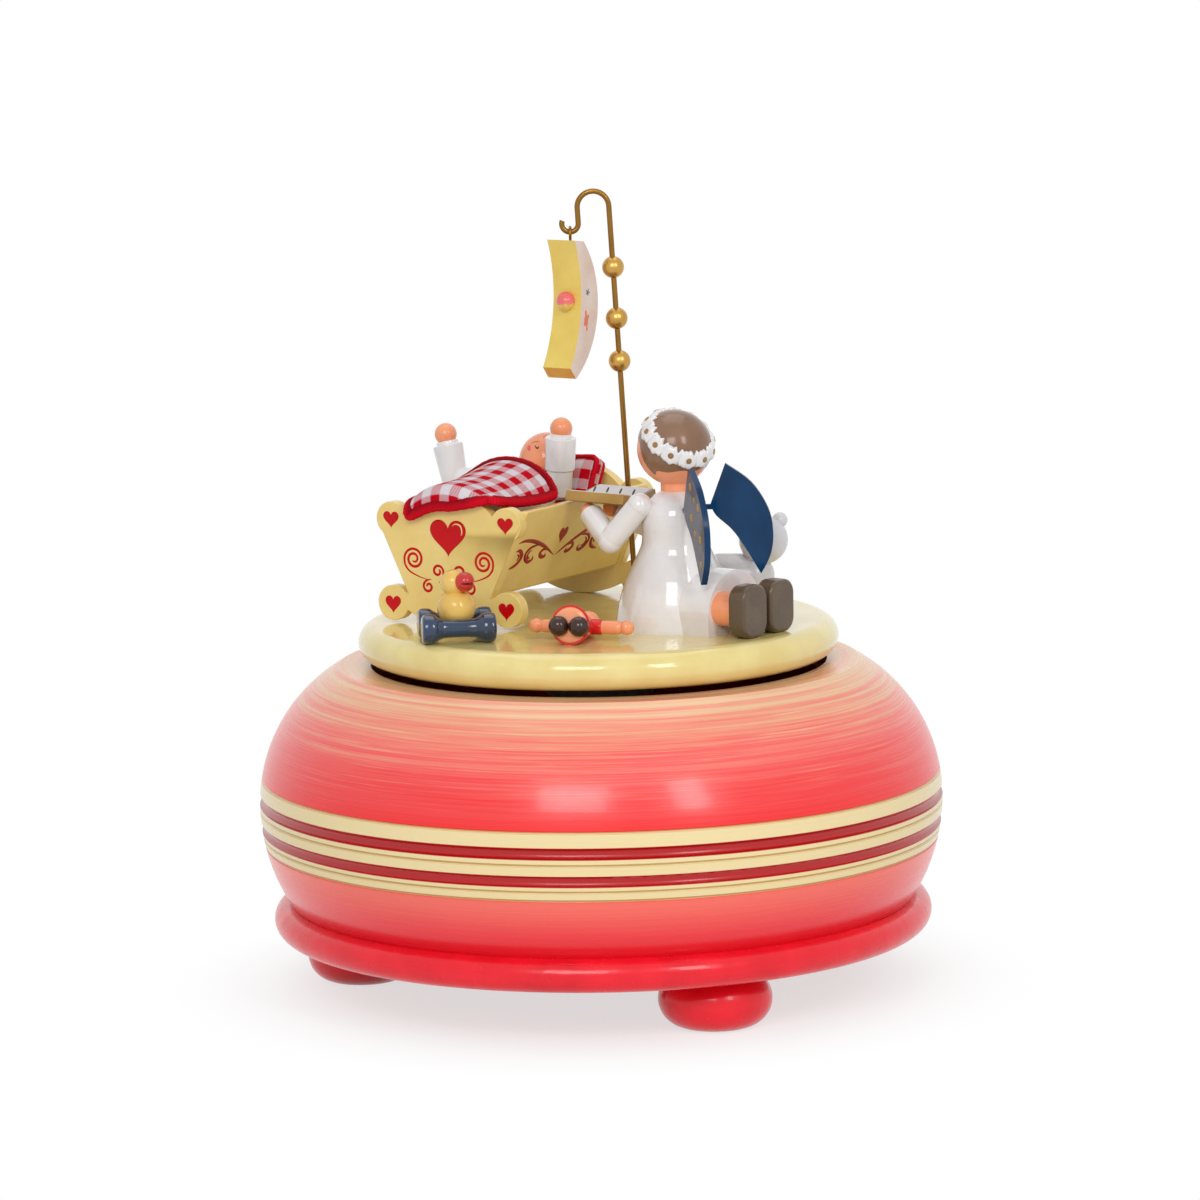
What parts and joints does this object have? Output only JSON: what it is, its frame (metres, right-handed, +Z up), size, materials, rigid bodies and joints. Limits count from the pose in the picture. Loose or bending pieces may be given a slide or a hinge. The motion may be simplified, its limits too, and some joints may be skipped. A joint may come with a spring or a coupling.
{
  "type": "music box",
  "caption": "Turned wooden bowl-shaped music box with a wind-up movement inside, turning a round platform that carries a cradle scene with a kneeling angel, toys and a hanging crescent moon.",
  "frame": {"origin": "on the floor under the middle of the bowl", "axes": "+Z up along the platform's spindle; the viewer's side with the foot of the cradle is at -Y, the angel is at +X"},
  "size_m": [0.15, 0.15, 0.1742],
  "materials": {
    "red_paint": "gloss paint on turned wood",
    "bowl_paint": "brushed red and peach glaze on turned wood, gloss",
    "cream_paint": "gloss paint on wood",
    "raw_wood": "plain wood",
    "white_paint": "pearl gloss paint on turned wood",
    "skin_paint": "satin varnish on turned wood",
    "navy_paint": "gloss paint on wood",
    "brown_paint": "satin paint on wood",
    "gold_paint": "gold paint on wood",
    "moon_paint": "satin paint on wood",
    "nose_paint": "gloss paint on wood",
    "duck_paint": "gloss paint on wood",
    "white_cloth": "plain cotton",
    "gingham": "woven red and white check with a red corded edge",
    "steel": "ground steel",
    "cast_metal": "cast and plated",
    "brass": "polished brass"
  },
  "bodies": {
    "box": {"feet": "red_paint", "base_plate": "red_paint", "base_screws": "steel", "bowl": "bowl_paint", "bedplate": "cast_metal", "mount_screws": "steel", "machine_screws": "steel", "barrel_bridge": "steel", "clutch_spring": "steel", "comb": "steel", "governor_bracket": "brass"},
    "winder": {"winding_arbor": "steel", "winding_key": "brass"},
    "turntable": {"spring_barrel": "brass", "barrel_cap": "brass", "mainspring": "steel", "spindle": "steel", "platform_hub": "raw_wood", "platform": "cream_paint", "cradle_footboard": "cream_paint", "cradle_headboard": "cream_paint", "cradle_side_near": "cream_paint", "cradle_side_far": "cream_paint", "cradle_floor": "cream_paint", "mattress": "white_cloth", "pillow": "gingham", "blanket": "gingham", "baby_body": "white_paint", "baby_head": "skin_paint", "baby_arms": "white_paint", "baby_hands": "skin_paint", "angel_dress": "white_paint", "angel_skirt": "white_paint", "angel_head": "skin_paint", "angel_arms": "white_paint", "angel_hands": "skin_paint", "angel_wings": "navy_paint", "angel_legs": "skin_paint", "angel_shoes": "brown_paint", "songbook": "gold_paint", "post_wire": "brass", "post_beads": "gold_paint", "duck_body": "duck_paint", "duck_head": "duck_paint", "duck_bill": "nose_paint", "cart_axles": "navy_paint", "doll_body": "nose_paint", "doll_head": "skin_paint", "doll_arms": "skin_paint", "doll_shoes": "brown_paint", "bear_body": "white_paint", "bear_head": "white_paint"},
    "cylinder": {"note_cylinder": "brass", "cylinder_arbor": "steel", "cylinder_gear": "brass"},
    "transfer": {"transfer_wheel": "brass"},
    "governor_fly": {"governor": "steel"},
    "moon_body": {"moon": "moon_paint", "moon_nose": "nose_paint", "moon_eye": "brass"}
  },
  "joints": [
    {"name": "turntable_spin", "type": "hinge", "parent": "box", "child": "turntable", "pos_m": [0, 0, 0.0725], "axis": [0, 0, 1], "continuous": true},
    {"name": "key_turn", "type": "hinge", "parent": "box", "child": "winder", "pos_m": [0, 0, 0.006], "axis": [0, 0, 1], "continuous": true},
    {"name": "cylinder_spin", "type": "hinge", "parent": "box", "child": "cylinder", "pos_m": [0.0174, 0, 0.03404], "axis": [1, 0, 0], "continuous": true},
    {"name": "transfer_spin", "type": "hinge", "parent": "box", "child": "transfer", "pos_m": [0.0395, 0.01125, 0.03404], "axis": [1, 0, 0], "continuous": true},
    {"name": "governor_spin", "type": "hinge", "parent": "box", "child": "governor_fly", "pos_m": [0.0435, 0.01765, 0.03404], "axis": [0, 0, 1], "continuous": true},
    {"name": "moon_swing", "type": "hinge", "parent": "turntable", "child": "moon_body", "pos_m": [-0.00463, 0.006, 0.16483], "axis": [1, 0, 0], "range_deg": [-45, 45]}
  ],
  "couplings": [
    {"joint": "cylinder_spin", "follows": "turntable_spin", "ratio": 2.5},
    {"joint": "transfer_spin", "follows": "turntable_spin", "ratio": -10},
    {"joint": "governor_spin", "follows": "turntable_spin", "ratio": 240}
  ]
}
